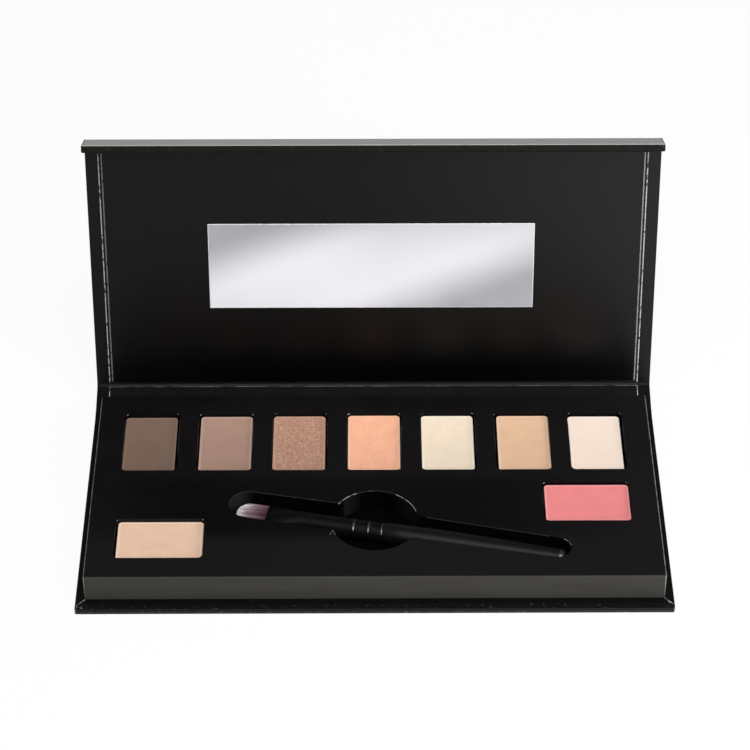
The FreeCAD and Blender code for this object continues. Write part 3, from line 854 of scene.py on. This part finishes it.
# %% Panel
MIRROR_W, MIRROR_H, MIRROR_X, MIRROR_Y = 109.2, 31.6, -0.7, 46.8
WINDOW_GAP = 0.12
PANEL = (89.8, 43.3, 0.0, 45.9)  # half width, half height and middle
WINDOW = (MIRROR_W / 2 + WINDOW_GAP, MIRROR_H / 2 + WINDOW_GAP, MIRROR_X, MIRROR_Y)
PANEL_Z, PANEL_T = 1.2, 0.9
PANEL_END, END_SLOPE = 80.0, 0.5  # past PANEL_END only the cut ends lie
bm = bmesh.new()
for half_w, half_h, x, y in (PANEL, WINDOW):
    corners = [(-half_w, -half_h), (half_w, -half_h), (half_w, half_h), (-half_w, half_h)]
    verts = [bm.verts.new((x + a, y + b, PANEL_Z)) for a, b in corners]
    for pair in zip(verts, verts[1:] + verts[:1]):
        bm.edges.new(pair)
bmesh.ops.bridge_loops(bm, edges=bm.edges[:])
raised = bmesh.ops.extrude_face_region(bm, geom=bm.faces[:])["geom"]
for vert in raised:
    if isinstance(vert, bmesh.types.BMVert):
        vert.co.z += PANEL_T
        if abs(vert.co.x) > PANEL_END:
            vert.co.x -= math.copysign(END_SLOPE, vert.co.x)
bm.normal_update()
for face in bm.faces:
    if abs(face.normal.x) > 0.7 and abs(face.calc_center_median().x) > PANEL_END:
        face.material_index = 1
bmesh.ops.transform(bm, matrix=board_frame("lid"), verts=bm.verts[:])
make_piece("lid_card", bm, [panel_card, card_edge], "lid", ["lid_panel"])

# %% Mirror plate
MIRROR_BACK, MIRROR_FACE, MIRROR_ROUND = 1.3, 2.05, 0.25
bm = bmesh.new()
y0, y1 = MIRROR_Y - MIRROR_H / 2, MIRROR_Y + MIRROR_H / 2
slab(bm, "lid", MIRROR_W / 2, y0, y1, MIRROR_BACK, MIRROR_FACE, MIRROR_X)
for face in soften(bm, bm.edges[:], MIRROR_ROUND, 2):
    face.material_index = 1
layer_uv = bm.loops.layers.uv.new("flat")
flat = board_frame("lid").inverted()
for face in bm.faces:
    for loop in face.loops:
        spot = flat @ loop.vert.co
        across, up = (spot.x - MIRROR_X) / MIRROR_W, (spot.y - MIRROR_Y) / MIRROR_H
        loop[layer_uv].uv = (across + 0.5, up + 0.5)
make_piece("mirror_plate", bm, [mirror_with_painted_reflection, mirror_edge_highlight], "lid", ["mirror"])

# %% [markdown]
# ## The nine powders
#
# Each powder fills its pan and crumbles over the pan's thin rim, so it is a block with a slightly
# wider cap on it. The cap has rounded corners, a softened rim and a face that sits a few hundredths
# of a millimetre lower than the rim. Sculpting could crumble it further, but at this size a bevel
# and two insets look the same. A mark on the rim's points, called rim, tells the material where the
# powder has crumbled. No pan sits quite square in its well, so each is shifted by a few tenths of a
# millimetre, and its tin dish is a shifted copy of the engineering one.

# %% A pressed block
CORNER_STEPS, TINY = 6, 1e-6


def pressed_block(bm, low, high, corner):
    """Add a block with rounded upright edges between two corners, and return its top face."""
    size, centre = high - low, (low + high) / 2
    place = Matrix.Translation(centre) @ Matrix.Diagonal((*size, 1))
    made = bmesh.ops.create_cube(bm, size=1, matrix=place)["verts"]
    edges = {edge for vert in made for edge in vert.link_edges}
    upright = [e for e in edges if abs(e.verts[0].co.z - e.verts[1].co.z) > TINY]
    soften(bm, upright, corner, CORNER_STEPS)
    tops = [f for f in bm.faces if f.normal.z > 0.9 and f.calc_center_median().z > high.z - TINY]
    return max(tops, key=lambda face: face.calc_area())


print("a rounded corner has", CORNER_STEPS, "steps")

# %% Tin dish
def tin_dish(name, shift):
    """A shifted copy of a pan's engineering piece."""
    bm = bmesh.new()
    bm.from_mesh(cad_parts[name + "_pan"].data)
    bmesh.ops.remove_doubles(bm, verts=bm.verts[:], dist=1e-7)
    bmesh.ops.translate(bm, vec=shift, verts=bm.verts[:])
    make_piece(name + "_dish", bm, [tin_plate], "base", [name + "_pan"])


print("dishes to make:", len(POWDERS))

# %% Pressed powder
FILL_CORNER, CAP_CORNER = 0.97, 1.27  # corner radii inside the pan and over its rim
CAP_INSET, CAP_ROUND, UNDER_CAP = 0.03, 0.1, 0.1
RIM_BANDS = ((0.5, 0.0), (0.3, -0.04))  # width of each band of the rim, and how far it steps


def pressed_powder(name, material, shift):
    """A block of powder in its pan, with a cap that crumbles over the rim."""
    bm = bmesh.new()
    low, high = [Vector(corner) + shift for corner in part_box(name + "_powder")]
    pan_low, pan_high = [Vector(corner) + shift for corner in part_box(name + "_pan")]
    filled = Vector((high.x, high.y, pan_high.z - UNDER_CAP * MM))
    pressed_block(bm, low, filled, FILL_CORNER)
    edge = Vector((CAP_INSET, CAP_INSET, 0)) * MM
    cap_low = Vector((pan_low.x, pan_low.y, pan_high.z)) + edge
    cap_high = Vector((pan_high.x, pan_high.y, high.z)) - edge
    bm.normal_update()
    top = pressed_block(bm, cap_low, cap_high, CAP_CORNER)
    soften(bm, top.edges[:], CAP_ROUND)
    bm.normal_update()
    top = max(bm.faces, key=lambda f: (round(f.calc_center_median().z, 6), f.calc_area()))
    for width, sink in RIM_BANDS:
        border = {"thickness": width * MM, "depth": sink * MM, "use_even_offset": True}
        bmesh.ops.inset_region(bm, faces=[top], **border)
    mark = bm.verts.layers.float.new("rim")
    field = set(top.verts)
    for vert in bm.verts:
        vert[mark] = 0.0 if vert in field else 1.0
    replaced = [name + "_powder"]
    make_piece(name + "_pressed", bm, [material], "base", replaced, 50)


print("bands of a rim:", len(RIM_BANDS))

# %% Nine pans
# How far each pan sits off the middle of its well, to the right and to the back, in millimetres.
SHIFT = {
    "eyeshadow_1": (-0.4, -0.4),
    "eyeshadow_2": (0.1, 0.0),
    "eyeshadow_3": (-0.2, 0.1),
    "eyeshadow_4": (0.0, 0.35),
    "eyeshadow_5": (-0.2, 0.1),
    "eyeshadow_6": (0.4, 0.0),
    "eyeshadow_7": (-0.4, -0.4),
    "blush": (0.2, 0.3),
    "concealer": (0.3, -0.1),
}
for name, material in POWDERS.items():
    shift = Vector((*SHIFT[name], 0)) * MM
    tin_dish(name, shift)
    pressed_powder(name, material, shift)

# %% [markdown]
# ## Punched edges of the deck
#
# A punch leaves a clean edge along most of a hole, but the paper frays on the tight curves: at the
# corners of the wells, at the round ends of the brush slot and along the finger recess. Each frayed
# stretch is a very fine square thread that follows the edge just at the deck's surface, made of one
# small box for each step of its path. A curve with a round section would do as well, but boxes are
# lighter and look the same this small. A few more lie loose at the base's front corners.

# %% Threads
DECK_Z, MARGIN_Z, THREAD_T = 11.52, 2.05, 0.2
ARC_STEP = 5  # degrees
SLOT_X, SLOT_Y, SLOT_TURN = 7.85, -17.9, math.radians(-11.75)


def thread(bm, path, half, z=DECK_Z):
    """Lay a fine square thread along a path of points at a height z, in millimetres."""
    for a, b in zip(path, path[1:]):
        run, middle = b - a, (a + b) / 2
        turn = Matrix.Rotation(math.atan2(run.y, run.x), 4, "Z")
        size = Matrix.Diagonal((run.length + half, 2 * half, THREAD_T, 1))
        place = Matrix.Scale(MM, 4) @ Matrix.Translation((middle.x, middle.y, z)) @ turn
        bmesh.ops.create_cube(bm, size=1, matrix=place @ size)


def arc(x, y, radius, start, end):
    """Points of an arc about x and y, between two angles in degrees."""
    count = max(4, int(abs(end - start) / ARC_STEP))
    turns = [math.radians(start + (end - start) * i / count) for i in range(count + 1)]
    return [Vector((x + radius * math.cos(t), y + radius * math.sin(t))) for t in turns]


def in_slot(x, y):
    """Point of the deck's plane, from its place along and across the brush slot."""
    along, across = math.cos(SLOT_TURN), math.sin(SLOT_TURN)
    return Vector((SLOT_X + x * along - y * across, SLOT_Y + x * across + y * along))


print("the brush slot is turned by", round(math.degrees(SLOT_TURN), 2), "degrees")

# %% Frayed paper
RECESS_Y, RECESS_R = -15.6, 14.1
SLOT_RIGHT, RIGHT_R = 51.5, 4.5
PAN_CORNER, WELL_CORNER = 1.3, 1.75
FRAY, HAIRLINE, LOOSE = 0.05, 0.025, 0.07  # half thicknesses of the threads
CORNER_FRAYS = (
    ((-94.4, -46.0), (-94.2, -45.0)),
    ((-93.3, -45.5), (-92.5, -45.8)),
    ((92.9, -42.9), (93.3, -44.1)),
)
bm = bmesh.new()
for name in POWDERS:
    pan_low, pan_high = [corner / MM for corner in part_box(name + "_pan")]
    far = pan_high.y - PAN_CORNER
    for x, start in ((pan_low.x + PAN_CORNER, 150), (pan_high.x - PAN_CORNER, 65)):
        start += random.uniform(-15, 10)
        thread(bm, arc(x, far, WELL_CORNER, start, start - random.uniform(10, 35)), FRAY)
thread(bm, arc(0, RECESS_Y, RECESS_R, 146, 114), FRAY)
thread(bm, arc(0, RECESS_Y, RECESS_R, 60, 18), FRAY)
thread(bm, [in_slot(p.x, p.y) for p in arc(SLOT_RIGHT, 0, RIGHT_R, 70, 25)], FRAY)
junction = in_slot(-20.3, -6.45)
for sideways in (-1.0, 0.75):
    thread(bm, [junction, junction + Vector((sideways, -2.3))], HAIRLINE)
for ends in CORNER_FRAYS:
    thread(bm, [Vector(end) for end in ends], LOOSE, MARGIN_Z)
make_piece("frayed_edges", bm, [raw_edge], "base")

# %% Clean cuts
SLOT_LEFT, LEFT_R = -49.9, 6.1
CLEARANCE = WELL_CORNER - PAN_CORNER
RECESS_LINE, END_LINE, SLOT_LINE, WELL_LINE = 0.05, 0.07, 0.03, 0.06
bm = bmesh.new()
thread(bm, arc(0, RECESS_Y, RECESS_R, 114, 60), RECESS_LINE)
thread(bm, [in_slot(p.x, p.y) for p in arc(SLOT_LEFT, 0, LEFT_R, 200, 92)], END_LINE)
thread(bm, [in_slot(SLOT_LEFT, 6.11), in_slot(-20.0, 6.45)], SLOT_LINE)
thread(bm, [in_slot(8.0, 5.35), in_slot(48.0, 4.6)], SLOT_LINE)
for name in POWDERS:
    pan_low, pan_high = [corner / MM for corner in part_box(name + "_pan")]
    for x in (pan_low.x - CLEARANCE, pan_high.x + CLEARANCE):
        far = pan_high.y - random.uniform(1.5, 6)
        near = pan_low.y + random.uniform(1.5, 12)
        thread(bm, [Vector((x, far)), Vector((x, near))], WELL_LINE)
make_piece("deck_cut_edges", bm, [cut_paper], "base")

# %% [markdown]
# ## The brush
#
# A handle is turned on a lathe, so its mesh is a profile spun round the brush's axis. The ferrule
# is a tube that starts round, has three rolled crimps to grip the wood, and flares and is pressed
# flat towards its mouth: the same spin, squeezed afterwards. The crimps are bare metal only on the
# side where the highlight falls, so they are partly a painted highlight.
# A cylinder could be scaled ring by ring instead, but a profile is easier to read and to change.

# %% Lathe
BRUSH_Z, LATHE_STEPS = 7.35, 48
TIP, MOUTH, ROUND_START, HANDLE_START, HANDLE_END = -54.0, -43.6, -33.0, -4.9, 55.1
BRUSH = (
    Matrix.Scale(MM, 4)
    @ Matrix.Translation((SLOT_X, SLOT_Y, BRUSH_Z))
    @ Matrix.Rotation(SLOT_TURN, 4, "Z")
)
along_brush = BRUSH.inverted()


def spun(profile, squeeze=None):
    """Spin a list of (x, radius) round the brush's axis; squeeze then flattens it."""
    bm = bmesh.new()
    verts = [bm.verts.new((x, 0, r)) for x, r in profile]
    edges = [bm.edges.new(pair) for pair in zip(verts, verts[1:])]
    bmesh.ops.spin(
        bm,
        geom=verts + edges,
        cent=(0, 0, 0),
        axis=(1, 0, 0),
        angle=2 * math.pi,
        steps=LATHE_STEPS,
        use_merge=True,
    )
    bmesh.ops.remove_doubles(bm, verts=bm.verts[:], dist=1e-4)
    if squeeze:
        for vert in bm.verts:
            wide, thick = squeeze(vert.co.x)
            vert.co.y *= wide
            vert.co.z *= thick
    bmesh.ops.transform(bm, matrix=BRUSH, verts=bm.verts[:])
    return bm


print("the brush is", round(HANDLE_END - TIP), "mm long")

# %% Handle
POLISH_START = 52.4
handle = [(HANDLE_START, 0.0), (HANDLE_START, 3.2), (-4.6, 3.38), (2.0, 3.5), (8.0, 3.57)]
handle += [(14.6, 3.6), (24.0, 3.48), (34.0, 3.28), (44.0, 3.05), (POLISH_START, 2.82)]
handle += [(53.2, 2.74), (54.1, 2.35), (54.7, 1.65), (55.0, 0.85), (HANDLE_END, 0.0)]
bm = spun(handle)
for face in bm.faces:
    if (along_brush @ face.calc_center_median()).x > POLISH_START:
        face.material_index = 1
make_piece("brush_stem", bm, [lacquer, polished], "base", ["brush_handle"], 40)

# %% Ferrule
FERRULE_R, BORE_R = 3.15, 2.8
MOUTH_W, MOUTH_T = 5.6, 1.7  # half width and half thickness of the flat mouth
CRIMPS = (-14.7, -9.8, -5.4)
CRIMP_SHAPE = ((-0.4, 0.0), (-0.22, 0.22), (0.0, 0.33), (0.22, 0.22), (0.4, 0.0))
# The bare metal lies only on this side of the tube, where the highlight falls: partly a painted
# highlight.
RUBBED = (75, 150)  # degrees round the tube


def flatten(x):
    """How much wider and thinner the tube is at a place along the brush."""
    share = min(max((ROUND_START - x) / (ROUND_START - MOUTH), 0.0), 1.0)
    return 1 + share * (MOUTH_W / FERRULE_R - 1), 1 + share * (MOUTH_T / FERRULE_R - 1)


tube = [(MOUTH, BORE_R), (MOUTH, FERRULE_R - 0.1), (MOUTH + 0.15, FERRULE_R)]
tube += [(x, FERRULE_R) for x in (-41.0, -38.0, -35.0, -33.0, -31.0, -26.0, -20.0)]
tube += [(crimp + x, FERRULE_R + rise) for crimp in CRIMPS for x, rise in CRIMP_SHAPE]
tube += [(HANDLE_START, BORE_R)]
bm = spun(tube, flatten)
for face in bm.faces:
    spot = along_brush @ face.calc_center_median()
    on_crimp = spot.x > -16 and math.hypot(spot.y, spot.z) > FERRULE_R + 0.1
    if on_crimp and RUBBED[0] < math.degrees(math.atan2(spot.z, spot.y)) < RUBBED[1]:
        face.material_index = 1
finishes = [black_metal, crimp_highlight]
make_piece("brush_tube", bm, finishes, "base", ["brush_ferrule"], 40)

# %% [markdown]
# The bristles are some hundreds of fine tapered hairs round a solid core. Each hair leaves the
# mouth at its own place, and the hairs near the edge are shorter, which gives the rounded tip of a
# flat make-up brush. The mark called along runs from 0 at the mouth to 1 at the tip, and the mark
# called strand gives each hair a shade of its own. A hair system would grow them faster, but only a
# mesh can be exported, so each hair is a cone. Real hairs are finer than these, which are as coarse
# as they need to be to show.

# %% Bristles
HAIRS, ROOT_R, END_R = 420, 0.16, 0.06
HALF_W, HALF_T = 5.1, 1.25
STRAIGHT, TIP_R = 4.95, 5.25
LENGTH = MOUTH - TIP
bm = bmesh.new()
along = bm.verts.layers.float.new("along")
strand = bm.verts.layers.float.new("strand")
for _ in range(HAIRS):
    angle = random.uniform(0, 2 * math.pi)
    reach = math.sqrt(random.random())
    y, z = HALF_W * reach * math.cos(angle), HALF_T * reach * math.sin(angle)
    length = (STRAIGHT + math.sqrt(TIP_R**2 - y * y)) * random.uniform(0.95, 1.0)
    # Towards the tip the hairs close in, more in thickness than in width.
    end = Vector((MOUTH - length, y * 0.97, z * 0.35))
    root = Vector((MOUTH + 1.0, y * 0.96, z))
    aim = end - root
    turn = aim.to_track_quat("Z", "Y").to_matrix().to_4x4()
    hair = bmesh.ops.create_cone(
        bm,
        cap_ends=True,
        segments=5,
        radius1=ROOT_R,
        radius2=END_R,
        depth=aim.length,
        matrix=Matrix.Translation((root + end) / 2) @ turn,
    )["verts"]
    shade = random.random()
    for vert in hair:
        vert[strand] = shade
centre = Matrix.Translation((MOUTH - LENGTH * 0.35, 0, 0))
core = centre @ Matrix.Diagonal((LENGTH * 0.5, HALF_W * 0.85, HALF_T * 0.6, 1))
bmesh.ops.create_uvsphere(bm, u_segments=24, v_segments=16, radius=1.0, matrix=core)
for vert in bm.verts:
    vert[along] = min(max((MOUTH - vert.co.x) / LENGTH, 0.0), 1.0)
bmesh.ops.transform(bm, matrix=BRUSH, verts=bm.verts[:])
make_piece("brush_hairs", bm, [bristle_hair], "base", ["brush_bristles"], 80)

# %% [markdown]
# ## Materials on the engineering pieces
#
# The pieces that keep their engineering shape only need their material. Each is chosen by the end
# of its name, because pieces of one kind are named alike.

# %% Dress the engineering pieces
DRESS = {
    "_board": greyboard,
    "_magnets": magnet_bar,
    "_tape": tape_film,
    "_pan": tin_plate,
    "_layer": core_board_with_painted_light,
    "_card": floor_card_in_shade,
    "tray_cover": deck_paper_with_painted_light,
}
for name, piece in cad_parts.items():
    found = [m for end, m in DRESS.items() if name.endswith(end)]
    piece.data.materials.clear()
    piece.data.materials.append(found[0] if found else matt_paper)
print("dressed", len(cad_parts), "engineering pieces")

# %% [markdown]
# ## Floor, light and camera
#
# The palette was photographed on white. The floor is a wide white sheet: it lights the dark sides
# from below and shows as a soft reflection in the varnish, and what the camera sees of it is lifted
# to near white while it keeps a faint shadow. In front the sheet falls off to grey towards the
# left, which only reflections show. One large soft lamp hangs above and in front, a small one
# stands at the right, and the room behind is dim, so that the deck stays black. A white room alone
# would be simpler, but it would leave no shadow and would turn the deck grey.

# %% White sheet
LIFT, LEFT_TONE = 0.92, 0.36
LEFT_END, RIGHT_END = 5 * MM, 110 * MM
FRONT_END, BACK_END = 50 * MM, 150 * MM
# Uncoated white paper: an even white with no shine.
white_sheet, tree, shader = start_material("White paper sheet", 0.9)
shader.inputs["Base Color"].default_value = linear("#f4f4f4")
to_camera = add(tree, "LightPath", output="Is Camera Ray")
in_gloss = add(tree, "LightPath", output="Is Glossy Ray")
x, y, _ = positions(tree)
to_right = add(tree, "MapRange", {0: x, 1: LEFT_END, 2: RIGHT_END, 3: LEFT_TONE, 4: 1.0})
behind = add(tree, "MapRange", {0: y, 1: FRONT_END, 2: BACK_END})
tone = add(tree, "Math", {0: to_right, 1: behind}, operation="MAXIMUM")
tone = add(tree, "Math", {0: tone, 1: to_camera}, operation="MAXIMUM")
glow = add(tree, "Emission", {"Color": (1, 1, 1, 1), "Strength": tone})
seen = add(tree, "Math", {0: to_camera, 1: in_gloss}, operation="MAXIMUM")
seen = add(tree, "Math", {0: seen, 1: LIFT}, operation="MULTIPLY")
sheet = add(tree, "MixShader", {0: seen, 1: shader.outputs[0], 2: glow})
tree.links.new(sheet, tree.nodes["Material Output"].inputs["Surface"])
tell("floor", white_sheet)

# %% Floor
FLOOR_HALF, FLOOR_DROP = 4.0, 0.2 * MM
bm = bmesh.new()
under = Matrix.Translation((0, 0, -FLOOR_DROP))
bmesh.ops.create_grid(bm, x_segments=1, y_segments=1, size=FLOOR_HALF, matrix=under)
mesh = bpy.data.meshes.new("studio_floor")
bm.to_mesh(mesh)
bm.free()
mesh.materials.append(white_sheet)
floor = bpy.data.objects.new("studio_floor", mesh)
bpy.context.scene.collection.objects.link(floor)
print("floor of", 2 * FLOOR_HALF, "m")

# %% Light
ROOM_LIGHT = 0.25
world = bpy.data.worlds.new("Dim studio")
bpy.context.scene.world = world
world.use_nodes = True
world.node_tree.nodes["Background"].inputs["Color"].default_value = (1, 1, 1, 1)
world.node_tree.nodes["Background"].inputs["Strength"].default_value = ROOM_LIGHT


def soft_lamp(name, place, aim, size, power):
    """A soft lamp at a place, facing a point; sizes in metres, power in watts."""
    lamp = bpy.data.lights.new(name, "AREA")
    lamp.shape = "RECTANGLE"
    lamp.size, lamp.size_y = size
    lamp.energy = power
    holder = bpy.data.objects.new(name, lamp)
    holder.location = place
    holder.rotation_euler = (Vector(aim) - Vector(place)).to_track_quat("-Z", "Y").to_euler()
    bpy.context.scene.collection.objects.link(holder)
    print(name, power, "W")


soft_lamp("front softbox", (0.15, -0.95, 1.35), (0, 0, 0), (1.6, 1.2), 26)
soft_lamp("right reflector", (0.42, -0.3, 0.22), (0.08, 0.07, 0.05), (0.2, 0.2), 1.6)

# %% Camera
camera = bpy.data.cameras.new("photo view")
camera.lens = 135.02
camera.sensor_width = 36.0
camera.shift_x, camera.shift_y = -0.00137, -0.0049
camera.clip_start = 0.05
eye, target = Vector((-2.636, -679.45, 630.01)) * MM, Vector((0.91, 72.96, 0.0)) * MM
view = bpy.data.objects.new("photo view", camera)
view.location = eye
view.rotation_euler = (target - eye).to_track_quat("-Z", "Y").to_euler()
bpy.context.scene.collection.objects.link(view)
bpy.context.scene.camera = view
bpy.context.scene.view_settings.view_transform = "Standard"
print("camera", round((target - eye).length, 3), "m from the palette")
